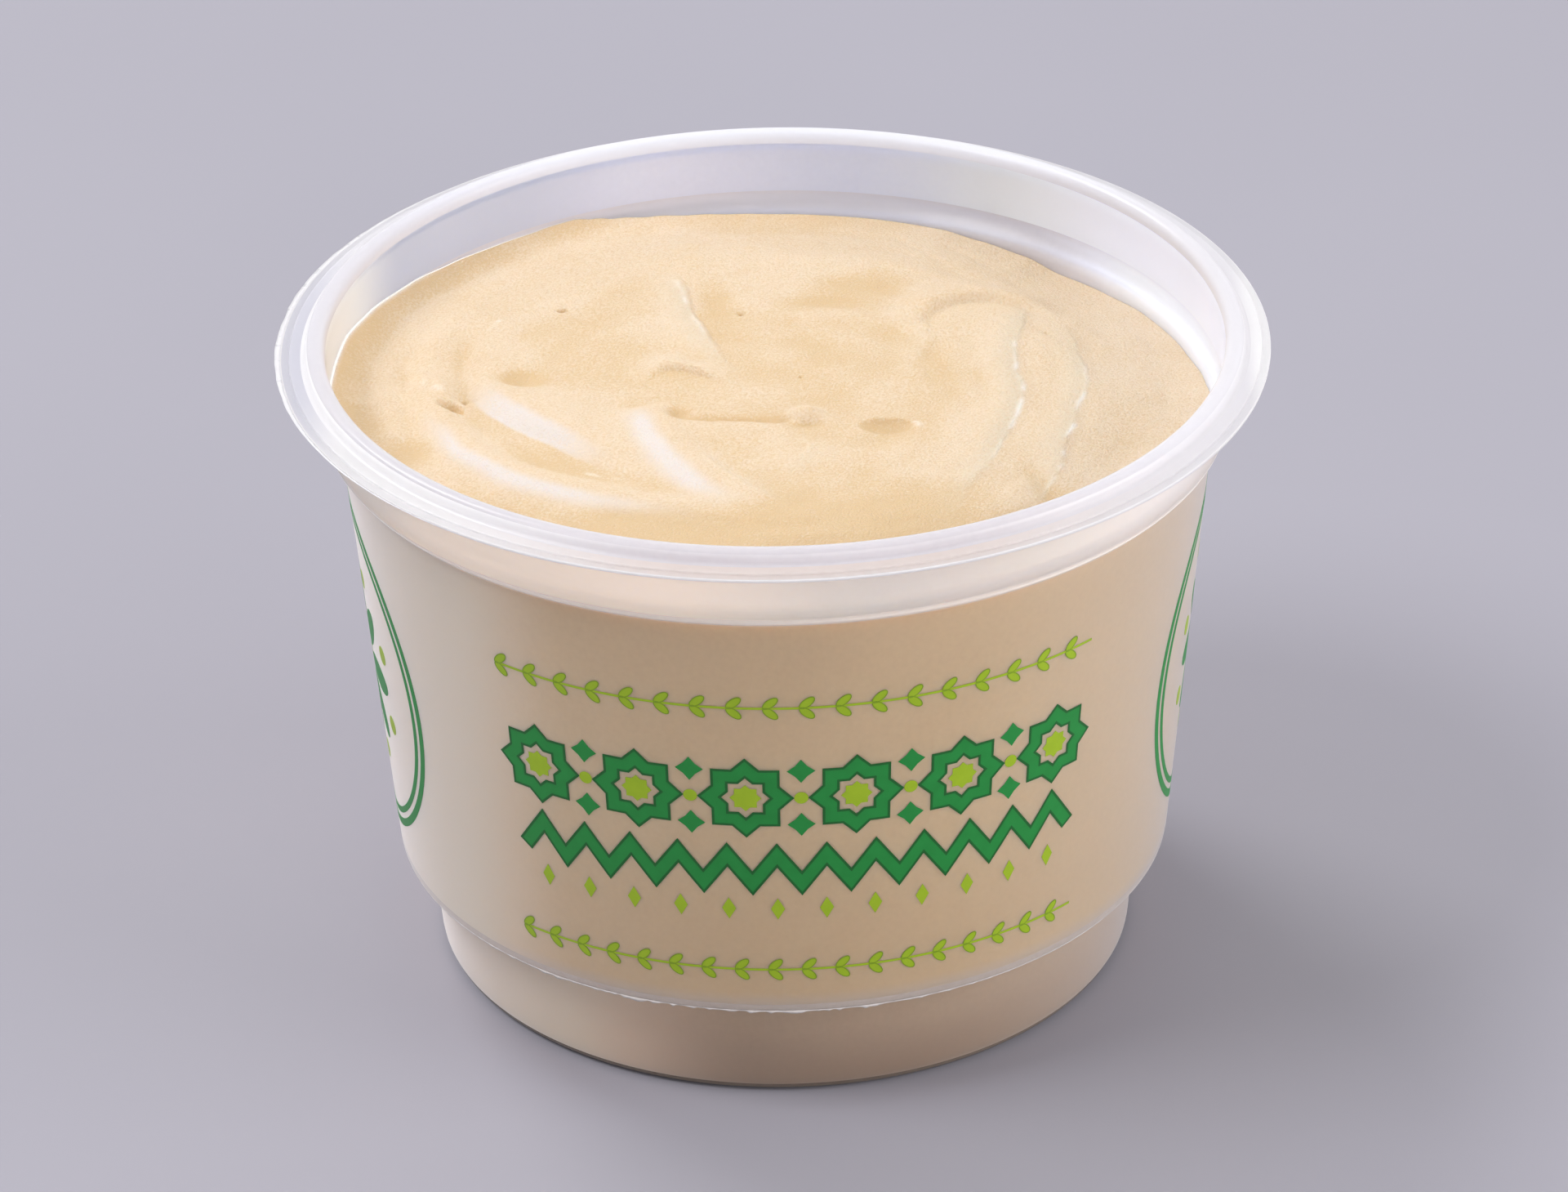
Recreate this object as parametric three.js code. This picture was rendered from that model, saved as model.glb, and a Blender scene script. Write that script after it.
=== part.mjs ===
import * as THREE from 'three';

// A deli tub of smooth hummus, filled to just under its rim and swirled with a spoon.
// Lengths are millimetres. The tub stands on Z = 0 with its axis on the Z axis, +Z is up,
// and -Y is the printed front.

// Tub, outside: a foot, a ledge, a tapered wall, a shoulder and a straight band up to the rim
const FOOT_RADIUS = 41.9;
const FOOT_TOP_RADIUS = 43.1;
const FOOT_CORNER = 1.5;
const LEDGE_HEIGHT = 14.2;
const LEDGE_RADIUS = 46.6;
const WALL_TAPER = 0.09;
const SHOULDER_HEIGHT = 68.8;
const BAND_RADIUS = 53.5;
const LIP_HEIGHT = 77.75;
const LIP_RADIUS = 58.8;
const LIP_THICKNESS = 0.5;
const HEIGHT = 79.5;

// Tub, thicknesses
const WALL = 0.8;
const LEDGE_THICKNESS = 1.0;
const BASE_THICKNESS = 1.0;

// Tub, inside: the wall widens to the band over a soft slope between these heights
const SLOPE_LOW = 68.4;
const SLOPE_HIGH = 71.6;
const SLOPE_STEPS = 5;

// Rounded bead on the inner side of the rim, which the lid closes over
const BEAD_RADIUS = 53.9;
const BEAD_HALF_WIDTH = 1.2;
const BEAD_FALL = 1.2;

// Hummus: its calm middle, and its edge round the wall as [angle in degrees, height]. It stays
// under the slope on the right and in front, and is smeared over it at the left. Its relief
// fades out over a last width before the edge.
const GAP = 0.3;
const LEVEL = 70.4;
const CALM_RADIUS = 30;
const REST_LEVEL = 69.7;
const CLIMB_WIDTH = 5;
const RELIEF_END = 5;
const NECK_HEIGHT = 66.5;
const EDGE = [
  [0, 69.35], [5, 69.05], [15, 68.4], [28, 68.05], [38, 67.55], [46, 67.35], [53, 68.1],
  [60, 68.5], [66, 68.9], [78, 69.05], [90, 69.15], [95, 69.3], [101, 69.55], [107, 69.9],
  [112, 70.3], [115, 70.7], [118, 71.1], [121, 71.05], [125, 70.9], [131, 70.9],
  [139, 71.1], [147, 71.5], [159, 72.1], [166, 72.55], [172, 72.05], [176, 71.65],
  [181, 71.3], [198, 70.8], [213, 69.4], [228, 68.5], [262, 67.9], [305, 68.0],
  [340, 68.6], [356, 69.2], [360, 69.35],
];

// Mesh
const SEGMENTS = 84;
const SURFACE_RINGS = 28;
const NECK_RINGS = 6;
const SPINE_STEPS = 40;

// Spoon strokes: ridges, or furrows where height is negative, that follow a smooth curve.
// Each side has its own width. left, right and the crisp side, which ends in a clear line, are
// seen along the path. A stroke rises from nothing over this share of its length, unless it
// has a fade of its own, and sinks to nothing over this share at its end.
const FADE = 0.35;
const STROKES = [
  { name: 'outer bank', height: 1.1, left: 2.8, right: 3.6,
    path: [[-22, 41], [-34, 31], [-40.5, 16], [-40.6, 3], [-38.6, -6], [-35.6, -12.6],
      [-30.5, -18.4], [-24, -22.6], [-16, -26], [-5, -29], [7, -30.5]] },
  { name: 'inner bank', height: 1.35, left: 5.5, right: 3.5, crisp: 'right', fade: 0.55,
    path: [[-19, 35], [-28, 28], [-33, 19.5], [-34.2, 10.5], [-33.4, 4.5], [-31, -1],
      [-27.6, -5.6], [-23.5, -9.6], [-19, -14], [-15.5, -17.5]] },
  { name: 'inner furrow', height: -0.4, left: 2.4, right: 2.4,
    path: [[-33, 27], [-37.4, 15], [-37.6, 5], [-36, -4], [-32.4, -11], [-26.5, -16.8],
      [-18, -21], [-8, -26]] },
  { name: 'left terrace', height: 0.5, left: 1.6, right: 1.4,
    path: [[-30, 38.5], [-41, 25], [-46, 12], [-46.4, 1], [-44.4, -9], [-40.5, -17.5]] },
  { name: 'left furrow', height: -0.2, left: 1.4, right: 1.4,
    path: [[-30, 34.5], [-38.5, 24], [-43.2, 12], [-43.6, 2], [-41.8, -7], [-38.5, -15]] },
  { name: 'crescent', height: 1.0, left: 2.6, right: 5.0, fade: 0.12,
    path: [[-14.6, -1.2], [-13.6, -6.2], [-12.3, -11.4], [-10.4, -16.6], [-7.2, -21.1],
      [-2.9, -25.3], [1.8, -28.4]] },
  { name: 'upper arc', height: 0.6, left: 5.0, right: 3.2,
    path: [[-27, 30], [-18.6, 35.8], [-8.3, 37.6], [1.2, 36.8], [8, 33.6], [13, 27.5]] },
  { name: 'upper hollow', height: -0.4, left: 3.0, right: 3.0,
    path: [[4, 31], [11, 29.6], [17, 26.4]] },
  { name: 'centre ridge', height: 0.25, left: 2.4, right: 1.2, crisp: 'right',
    path: [[15, 5], [17.6, 12.4], [17.4, 18.6], [12.2, 21.8]] },
  { name: 'right bank', height: 0.16, left: 1.4, right: 4.6, crisp: 'left', fade: 0.08,
    path: [[30.3, 25], [29, 14.3], [28.2, 9.1], [29, 0.6], [28.5, -3.5], [26.7, -10.8],
      [24.2, -18], [20.9, -25.7], [19, -34]] },
  { name: 'right terrace', height: 0.18, left: 1.4, right: 3.2, crisp: 'left',
    path: [[31.5, 27], [33.7, 20.5], [35.6, 13], [36.6, 6.1], [36.4, 0.9], [34.8, -5.8],
      [33.4, -12.2], [32.4, -18.4], [29.8, -25.2], [26, -31.5]] },
  { name: 'crest', height: 1.25, left: 3.4, right: 1.8, crisp: 'right', fade: 0.2,
    path: [[15.8, 17.5], [18.4, 21.4], [21.4, 24.6], [25.7, 25.9], [30.8, 24.8], [35.2, 22]] },
  { name: 'fold', height: 0.42, left: 0.8, right: 2.4, crisp: 'left',
    path: [[-12.4, 33], [-11.2, 28.5], [-9.9, 21.2], [-7.6, 13], [-4.6, 6]] },
  { name: 'curl', height: 0.75, left: 2.2, right: 1.0, crisp: 'right',
    path: [[-16, 4], [-13.7, 7], [-10.8, 7.4], [-8.2, 5.8], [-5.6, 4]] },
  { name: 'pit lip', height: 0.35, left: 1.6, right: 1.6, crisp: 'right',
    path: [[-43.6, 9], [-42, 5.4], [-39.4, 2.4], [-36.8, 0.6]] },
  { name: 'crease', height: -0.6, left: 0.8, right: 0.5,
    path: [[-13.5, -5], [-9.6, -5.6], [-4.9, -6], [0.9, -6], [3.6, -6.2]] },
  { name: 'crease front', height: 0.4, left: 1.4, right: 2.4,
    path: [[-12, -7.8], [-5, -8.2], [2, -8.4]] },
];

// Round or oval hollows, and bumps where depth is negative, turned by an angle in degrees. A
// crisp one is a bowl with a clear rim.
const HOLLOWS = [
  { name: 'left dimple', at: [-30.4, 5.0], size: [2.9, 2.4], turn: 5, depth: 1.6 },
  { name: 'pit', at: [-38.3, -2.1], size: [2.0, 1.2], turn: -38, depth: 1.6, crisp: true },
  { name: 'spoon tip', at: [12.8, -7.9], size: [3.4, 2.0], turn: 0, depth: 1.0, crisp: true },
  { name: 'tip bump', at: [16.2, -8.2], size: [0.8, 0.9], turn: 0, depth: -0.25 },
  { name: 'centre pinch', at: [-11.6, -4.2], size: [1.3, 1.3], turn: -20, depth: 1.1 },
  { name: 'crease bump', at: [3.5, -5.2], size: [1.8, 1.5], turn: 0, depth: -1.3 },
  { name: 'front valley', at: [-43.0, -12.0], size: [2.6, 3.0], turn: 30, depth: 0.7 },
  { name: 'fold hollow', at: [-7.4, 25.4], size: [2.2, 4.0], turn: 0, depth: 0.6 },
  { name: 'back hollow', at: [6.0, 24.5], size: [4.4, 1.6], turn: 0, depth: 0.45 },
  { name: 'right hollow', at: [30.5, -21.5], size: [1.8, 4.6], turn: 15, depth: 0.6 },
];

function smooth(t) {
  const x = THREE.MathUtils.clamp(t, 0, 1);
  return x * x * (3 - 2 * x);
}

// Points on an arc round (x, y), from one angle to another in degrees, ends included.
function arc(x, y, radiusX, radiusY, from, to, steps) {
  const points = [];
  for (let i = 0; i <= steps; i += 1) {
    const angle = THREE.MathUtils.degToRad(from + ((to - from) * i) / steps);
    points.push([x + radiusX * Math.cos(angle), y + radiusY * Math.sin(angle)]);
  }
  return points;
}

// Outside radius of the tapered wall at a height.
function wallRadius(z) {
  return LEDGE_RADIUS + WALL_TAPER * (z - LEDGE_HEIGHT);
}

// Inside radius of the tub at a height between the ledge and the bead.
function insideRadius(z) {
  const over = smooth((z - SLOPE_LOW) / (SLOPE_HIGH - SLOPE_LOW));
  return THREE.MathUtils.lerp(wallRadius(z), BAND_RADIUS, over) - WALL;
}

// Half section of the tub as [radius, height], from the middle of the underside, up the
// outside, over the rim and down the inside.
function tubProfile() {
  const shelf = LEDGE_HEIGHT + LEDGE_THICKNESS;
  const bead = HEIGHT - BEAD_FALL;
  const flange = LIP_HEIGHT - LIP_THICKNESS;
  const slope = Array.from({ length: SLOPE_STEPS + 1 }, (_, i) => {
    const height = THREE.MathUtils.lerp(SLOPE_HIGH, SLOPE_LOW, i / SLOPE_STEPS);
    return [insideRadius(height), height];
  });
  return [
    [0, 0],
    ...arc(FOOT_RADIUS - FOOT_CORNER, FOOT_CORNER, FOOT_CORNER, FOOT_CORNER, -90, 0, 3),
    [FOOT_TOP_RADIUS, LEDGE_HEIGHT],
    [LEDGE_RADIUS, LEDGE_HEIGHT],
    [wallRadius(SHOULDER_HEIGHT - 0.8), SHOULDER_HEIGHT - 0.8],
    [wallRadius(SHOULDER_HEIGHT) + 0.4, SHOULDER_HEIGHT - 0.25],
    [BAND_RADIUS - 0.8, SHOULDER_HEIGHT + 0.1],
    [BAND_RADIUS - 0.35, SHOULDER_HEIGHT + 0.5],
    [BAND_RADIUS - 0.1, SHOULDER_HEIGHT + 1.1],
    [BAND_RADIUS, SHOULDER_HEIGHT + 2.0],
    [BAND_RADIUS, flange - 0.7],
    [BAND_RADIUS + 0.7, flange],
    [LIP_RADIUS - 0.3, flange],
    [LIP_RADIUS, flange + 0.15],
    [LIP_RADIUS, LIP_HEIGHT - 0.1],
    [LIP_RADIUS - 0.3, LIP_HEIGHT],
    [LIP_RADIUS - 1.9, LIP_HEIGHT + 0.1],
    [BEAD_RADIUS + BEAD_HALF_WIDTH, LIP_HEIGHT + 0.4],
    ...arc(BEAD_RADIUS, bead, BEAD_HALF_WIDTH, BEAD_FALL, 20, 160, 4),
    [BAND_RADIUS - WALL, bead - 0.8],
    ...slope,
    [wallRadius(shelf) - WALL - 0.1, shelf + 0.6],
    [wallRadius(shelf) - WALL - 0.7, shelf],
    [FOOT_TOP_RADIUS - WALL, LEDGE_HEIGHT - 0.4],
    ...arc(FOOT_RADIUS - WALL - 1.2, BASE_THICKNESS + 1.2, 1.2, 1.2, 0, -90, 3),
    [0, BASE_THICKNESS],
  ];
}

// Height of the hummus where it meets the tub, between the two nearest entries of EDGE.
function edgeLevel(angle) {
  const turn = THREE.MathUtils.euclideanModulo(THREE.MathUtils.radToDeg(angle), 360);
  const next = EDGE.findIndex(([degrees]) => degrees > turn);
  const [from, low] = EDGE[next - 1];
  const [to, high] = EDGE[next];
  return THREE.MathUtils.lerp(low, high, smooth((turn - from) / (to - from)));
}

const SPINES = STROKES.map((stroke) => {
  const curve = new THREE.SplineCurve(stroke.path.map(([x, y]) => new THREE.Vector2(x, y)));
  return { ...stroke, spine: curve.getPoints(SPINE_STEPS) };
});

// What one stroke adds at a place, by its distance from the nearest step of the spine.
function strokeHeight(stroke, place) {
  let nearest = Infinity;
  let side = 'left';
  let along = 0;
  for (let i = 0; i < SPINE_STEPS; i += 1) {
    const step = stroke.spine[i + 1].clone().sub(stroke.spine[i]);
    const offset = place.clone().sub(stroke.spine[i]);
    const share = THREE.MathUtils.clamp(offset.dot(step) / step.lengthSq(), 0, 1);
    const away = offset.clone().addScaledVector(step, -share).lengthSq();
    if (away < nearest) {
      nearest = away;
      side = step.cross(offset) > 0 ? 'left' : 'right';
      along = (i + share) / SPINE_STEPS;
    }
  }
  const share = nearest / stroke[side] ** 2;
  const profile = stroke.crisp === side ? Math.max(0, 1 - share) ** 1.3 : Math.exp(-share);
  const taper = smooth(along / (stroke.fade ?? FADE)) * smooth((1 - along) / FADE);
  return stroke.height * taper * profile;
}

function hollowDepth(hollow, place) {
  const offset = place.clone().sub(new THREE.Vector2(...hollow.at));
  offset.rotateAround(new THREE.Vector2(), -THREE.MathUtils.degToRad(hollow.turn));
  const distance = (offset.x / hollow.size[0]) ** 2 + (offset.y / hollow.size[1]) ** 2;
  return hollow.depth * (hollow.crisp ? Math.max(0, 1 - distance) : Math.exp(-distance));
}

// Height of the hummus surface over a place in plan.
function surface(x, y) {
  const place = new THREE.Vector2(x, y);
  const radius = place.length();
  const edge = edgeLevel(Math.atan2(y, x));
  const end = insideRadius(edge) - GAP;
  const rest = Math.min(edge, REST_LEVEL);
  const fall = smooth((radius - CALM_RADIUS) / (end - CALM_RADIUS));
  const climb = smooth((radius - end + CLIMB_WIDTH) / CLIMB_WIDTH);
  const fade = smooth((end - radius) / RELIEF_END);
  const strokes = SPINES.reduce((sum, stroke) => sum + strokeHeight(stroke, place), 0);
  const hollows = HOLLOWS.reduce((sum, hollow) => sum + hollowDepth(hollow, place), 0);
  const calm = THREE.MathUtils.lerp(LEVEL, rest, fall) + (edge - rest) * climb;
  return calm + fade * (strokes - hollows);
}

// A turned body from a half section of [radius, height] pairs, stood up along +Z.
function turned(profile) {
  const points = profile.map(([radius, height]) => new THREE.Vector2(radius, height));
  return new THREE.LatheGeometry(points, SEGMENTS).rotateX(Math.PI / 2);
}

function makeTub() {
  const material = new THREE.MeshStandardMaterial({
    color: 0xe9e4ea, roughness: 0.35, metalness: 0, transparent: true, opacity: 0.55,
  });
  const tub = new THREE.Mesh(turned(tubProfile()), material);
  tub.name = 'tub';
  return tub;
}

// The hummus fills the tub from its base plate up. It starts as a turned blank with a flat
// top. The rings of its neck are then moved to follow the inside of the tub up to the edge,
// and the rings of the top are lifted to the swirled surface.
function makeHummus() {
  const shelf = LEDGE_HEIGHT + LEDGE_THICKNESS + GAP;
  const foot = BASE_THICKNESS + GAP;
  const inset = WALL + GAP;
  const sides = [
    [0, foot],
    [FOOT_RADIUS - inset - 1.3, foot],
    [FOOT_RADIUS - inset, foot + 1.3],
    [FOOT_TOP_RADIUS - inset, LEDGE_HEIGHT],
    [LEDGE_RADIUS - inset - 0.9, shelf + 0.1],
    [LEDGE_RADIUS - inset - 0.1, shelf + 0.9],
    [wallRadius(NECK_HEIGHT) - inset, NECK_HEIGHT],
  ];
  const neck = Array.from({ length: NECK_RINGS }, () => [BAND_RADIUS - inset, LEVEL]);
  const rings = Array.from({ length: SURFACE_RINGS + 1 }, (_, i) => {
    const share = 1 - i / SURFACE_RINGS;
    return [(BAND_RADIUS - inset) * share, LEVEL];
  });
  const geometry = turned([...sides, ...neck, ...rings]);
  const position = geometry.attributes.position;
  const count = sides.length + NECK_RINGS + rings.length;
  for (let i = 0; i < position.count; i += 1) {
    const ring = (i % count) - sides.length;
    const angle = Math.atan2(position.getY(i), position.getX(i));
    const edge = edgeLevel(angle);
    if (ring >= 0 && ring < NECK_RINGS) {
      const height = THREE.MathUtils.lerp(NECK_HEIGHT, edge, (ring + 1) / (NECK_RINGS + 1));
      const radius = insideRadius(height) - GAP;
      position.setXYZ(i, radius * Math.cos(angle), radius * Math.sin(angle), height);
    }
    if (ring >= NECK_RINGS) {
      const share = 1 - (ring - NECK_RINGS) / SURFACE_RINGS;
      const radius = (insideRadius(edge) - GAP) * share;
      const x = Math.cos(angle) * radius;
      const y = Math.sin(angle) * radius;
      position.setXYZ(i, x, y, surface(x, y));
    }
  }
  geometry.computeVertexNormals();
  const material = new THREE.MeshStandardMaterial({ color: 0xecd3ac, roughness: 0.5, metalness: 0 });
  const hummus = new THREE.Mesh(geometry, material);
  hummus.name = 'hummus';
  return hummus;
}

const group = new THREE.Group();
group.add(makeTub(), makeHummus());

export default group;
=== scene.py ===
import math

import bmesh
import bpy
import numpy as np
from mathutils import Euler, Matrix, Vector


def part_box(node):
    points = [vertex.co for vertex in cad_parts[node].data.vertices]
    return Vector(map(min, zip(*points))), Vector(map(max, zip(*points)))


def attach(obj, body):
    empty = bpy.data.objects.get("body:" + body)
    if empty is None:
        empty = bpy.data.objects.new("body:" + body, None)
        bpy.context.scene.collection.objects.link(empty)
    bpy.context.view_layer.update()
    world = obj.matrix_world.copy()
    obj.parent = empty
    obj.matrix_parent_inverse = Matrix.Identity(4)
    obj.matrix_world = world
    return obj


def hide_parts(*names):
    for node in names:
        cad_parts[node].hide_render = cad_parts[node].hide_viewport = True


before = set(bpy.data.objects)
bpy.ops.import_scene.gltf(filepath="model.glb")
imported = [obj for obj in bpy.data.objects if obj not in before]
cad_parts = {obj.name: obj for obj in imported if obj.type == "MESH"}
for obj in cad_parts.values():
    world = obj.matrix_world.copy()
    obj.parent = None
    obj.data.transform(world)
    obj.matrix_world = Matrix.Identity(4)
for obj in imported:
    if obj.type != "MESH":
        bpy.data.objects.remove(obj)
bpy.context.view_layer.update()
MM = 0.001


# The camera: a long lens that looks down on the front of the tub, from well above its rim.

aim = Vector((0.5, 0.0, 43.3)) * MM
camera_distance = 829 * MM
camera_elevation = math.radians(29.2)
camera_roll = math.radians(-1.0)
film_width = 36
focal_length = 159
nearest_seen = 50 * MM

camera_data = bpy.data.cameras.new("camera")
camera_data.sensor_width = film_width
camera_data.lens = focal_length
camera_data.clip_start = nearest_seen
camera_turn = Euler((math.pi / 2 - camera_elevation, 0, 0)).to_matrix().to_4x4()
camera = bpy.data.objects.new("camera", camera_data)
camera.matrix_world = (
    Matrix.Translation(aim)
    @ camera_turn
    @ Matrix.Translation((0, 0, camera_distance))
    @ Matrix.Rotation(camera_roll, 4, "Z")
)
bpy.context.scene.collection.objects.link(camera)
bpy.context.scene.camera = camera


# The tub: one injection moulding in natural polypropylene, milky and softly glossy. A tapered
# wall steps in at a ledge to a smaller foot and out at a shoulder to a straight band. A rounded
# bead and a thin lip form the rim.

tub_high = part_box("tub")[1]
tub_height = tub_high[2] / MM
foot_radius = 41.9
foot_top_radius = 43.1
ledge_height = 14.2
ledge_radius = 46.6
ledge_thickness = 1.0
wall_taper = 0.09
wall_thickness = 0.8
base_thickness = 1.0
shoulder_height = 68.8
wall_top = 68.5
inner_wall_top = 65
inner_slope_low, inner_slope_high = 68.4, 71.6
band_radius = 53.5
lip_radius = tub_high[0] / MM - 0.8
lip_low, lip_high = 77.25, 77.7
step_radius = 56.95
step_top = 77.95
bead_outer, bead_inner = 55.05, 52.7
bead_low = 77.5
tub_segments = 288


def wall_radius(height):
    """Outside radius of the tapered wall at a height, in millimetres like the rest."""
    return ledge_radius + wall_taper * (height - ledge_height)


def smooth_step(t):
    t = np.clip(t, 0, 1)
    return t * t * (3 - 2 * t)


def inner_radius(height):
    """Inside radius of the tub at a height: the wall, a soft slope and the band above it."""
    over = smooth_step((height - inner_slope_low) / (inner_slope_high - inner_slope_low))
    return (wall_radius(height) - wall_thickness) * (1 - over) + bead_inner * over


def rounded(outline, steps):
    """An outline of (radius, height, corner) with each corner rounded by a short curve."""
    places = [np.array(point[:2], float) for point in outline]
    smooth = [places[0]]
    for before, here, after, point in zip(places, places[1:], places[2:], outline[1:]):
        reach = point[2]
        if reach == 0:
            smooth.append(here)
            continue
        first = here + (before - here) * min(0.5, reach / np.linalg.norm(before - here))
        last = here + (after - here) * min(0.5, reach / np.linalg.norm(after - here))
        for t in np.linspace(0, 1, steps):
            smooth.append((1 - t) ** 2 * first + 2 * t * (1 - t) * here + t * t * last)
    smooth.append(places[-1])
    return np.array(smooth)


def new_piece(name, vertices, faces):
    """A smooth mesh piece from vertices in millimetres."""
    mesh = bpy.data.meshes.new(name)
    mesh.from_pydata((np.asarray(vertices, float) * MM).tolist(), [], faces)
    mesh.validate()
    mesh.shade_smooth()
    piece = bpy.data.objects.new(name, mesh)
    bpy.context.scene.collection.objects.link(piece)
    return piece


def turned(name, outline, segments):
    """A body turned about Z from an outline that starts and ends on the axis."""
    angles = np.arange(segments) * 2 * math.pi / segments
    rings = outline[1:-1]
    vertices = [(0, 0, outline[0][1])]
    for angle in angles:
        for radius, height in rings:
            vertices.append((radius * math.cos(angle), radius * math.sin(angle), height))
    vertices.append((0, 0, outline[-1][1]))
    count, last = len(rings), len(vertices) - 1
    faces = []
    for i in range(segments):
        here, there = 1 + i * count, 1 + (i + 1) % segments * count
        faces.append((0, there, here))
        for j in range(count - 1):
            faces.append((here + j, there + j, there + j + 1, here + j + 1))
        faces.append((here + count - 1, there + count - 1, last))
    return new_piece(name, vertices, faces)


shelf = ledge_height + ledge_thickness
tub_outline = rounded([
    (0, 0, 0),
    (foot_radius, 0, 1.7),
    (foot_top_radius, ledge_height, 0.35),
    (ledge_radius, ledge_height, 0.25),
    (wall_radius(shelf), shelf, 0),
    (wall_radius(wall_top), wall_top, 0.8),
    (band_radius - 0.5, shoulder_height + 0.2, 0.8),
    (band_radius, shoulder_height + 1.4, 1.0),
    (band_radius, lip_low, 0.8),
    (lip_radius, lip_low + 0.05, 0.12),
    (lip_radius, lip_high, 0.12),
    (step_radius + 0.05, lip_high, 0.1),
    (step_radius, step_top, 0.12),
    (bead_outer + 0.1, step_top + 0.1, 0.5),
    (bead_outer - 0.15, tub_height, 1.0),
    (bead_inner + 0.15, tub_height, 1.0),
    (bead_inner, bead_low, 0.8),
    *[(inner_radius(height), height, 0)
      for height in np.linspace(inner_slope_high, inner_slope_low, 11)],
    (inner_radius(inner_wall_top), inner_wall_top, 0),
    (wall_radius(shelf) - wall_thickness, shelf, 0.8),
    (foot_top_radius - wall_thickness, ledge_height - 0.4, 0.4),
    (foot_radius - wall_thickness, base_thickness, 1.3),
    (0, base_thickness, 0),
], steps=7)
tub = turned("tub_wall", tub_outline, tub_segments)


class Value:
    """A shader socket in an expression: arithmetic on it adds Math nodes."""

    def __init__(self, tree, socket=None):
        self.tree = tree
        self.socket = socket

    def node(self, kind, settings=None, inputs=None, output=0):
        """Adds a node, makes its settings first, then fills or links its sockets."""
        made = self.tree.nodes.new("ShaderNode" + kind)
        for name, setting in (settings or {}).items():
            setattr(made, name, setting)
        for name, value in (inputs or {}).items():
            if isinstance(value, Value):
                self.tree.links.new(value.socket, made.inputs[name])
            else:
                made.inputs[name].default_value = value
        return Value(self.tree, made.outputs[output])

    def maths(self, operation, left, right):
        return self.node("Math", {"operation": operation}, {0: left, 1: right})

    def __add__(self, other):
        return self.maths("ADD", self, other)

    __radd__ = __add__

    def __mul__(self, other):
        return self.maths("MULTIPLY", self, other)

    __rmul__ = __mul__

    def __sub__(self, other):
        return self.maths("SUBTRACT", self, other)

    def __rsub__(self, other):
        return self.maths("SUBTRACT", other, self)


def finish_of(name, **constants):
    """A new material: its expressions' start, its Principled node and itself."""
    material = bpy.data.materials.new(name)
    material.use_nodes = True
    principled = material.node_tree.nodes["Principled BSDF"]
    for socket, value in constants.items():
        principled.inputs[socket.replace("_", " ")].default_value = value
    return Value(material.node_tree), principled, material


def feed(shader, principled, socket, value):
    shader.tree.links.new(value.socket, principled.inputs[socket])


def noise(shader, scale, detail=2.0, stretch=(1, 1, 1), roughness=0.5):
    """Noise over the object's own place, with cells of 1 / scale metres."""
    place = shader.node("TexCoord", output=3)
    placed = shader.node("Mapping", None, {"Vector": place, "Scale": stretch})
    inputs = {"Vector": placed, "Scale": scale, "Detail": detail, "Roughness": roughness}
    return shader.node("TexNoise", None, inputs)


def blend_colours(shader, share, first, second):
    """A colour between two plain ones."""
    inputs = {0: share, 6: (*first, 1), 7: (*second, 1)}
    return shader.node("Mix", {"data_type": "RGBA"}, inputs, output=2)


def laid_over(shader, share, under, colour):
    """A plain colour laid over one that already varies, as far as the share says."""
    inputs = {0: share, 6: under, 7: (*colour, 1)}
    return shader.node("Mix", {"data_type": "RGBA"}, inputs, output=2)


def turn_share(shader, axis, start, end, share):
    """A share that grows along an axis from one place in millimetres to another."""
    place = shader.node("TexCoord", output=3)
    along = shader.node("SeparateXYZ", None, {0: place}, output="XYZ".index(axis))
    settings = {"interpolation_type": "SMOOTHSTEP"}
    return shader.node(
        "MapRange", settings, {0: along, 1: start * MM, 2: end * MM, 3: 0.0, 4: share})


def milky_plastic(name, clearness, gloss, haze, scatter, cloudy, clear, light_and_tone_turns=()):
    """Polypropylene: clear where the hummus wets it, and milky where it is free or seen flat.

    Light goes as deep as scatter, in millimetres, and the colour drifts from cloudy to clear.
    Each turn is an axis, where along it a change starts and ends, its share and its colour.
    Most turns paint light and shade, lighter or darker where the lamps fall more or less; one,
    just above the ledge on the wall, is the plastic's own tone.
    """
    shader, principled, material = finish_of(
        name, Transmission_Weight=clearness, IOR=1.22, Coat_Weight=gloss, Coat_IOR=1.5,
        Coat_Roughness=0.22, Subsurface_Weight=1, Subsurface_Scale=scatter * MM,
        Subsurface_Radius=(1, 1, 1), Sheen_Weight=haze, Sheen_Roughness=0.5,
        Sheen_Tint=(1.0, 0.95, 0.95, 1))
    cloudiness = noise(shader, 60, 3) + 1.2 * noise(shader, 1300, 2) - 0.6
    colour = blend_colours(shader, cloudiness, cloudy, clear)
    for axis, start, end, share, other in light_and_tone_turns:
        colour = laid_over(shader, turn_share(shader, axis, start, end, share), colour, other)
    feed(shader, principled, "Base Color", colour)
    feed(shader, principled, "Roughness", 0.3 + 0.1 * noise(shader, 180, 2))
    drawn_grain = noise(shader, 900, 2, (1, 1, 0.12))
    grain_bump = shader.node(
        "Bump", None, {"Height": drawn_grain, "Strength": 0.1, "Distance": 0.1 * MM})
    feed(shader, principled, "Normal", grain_bump)
    return material


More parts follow.
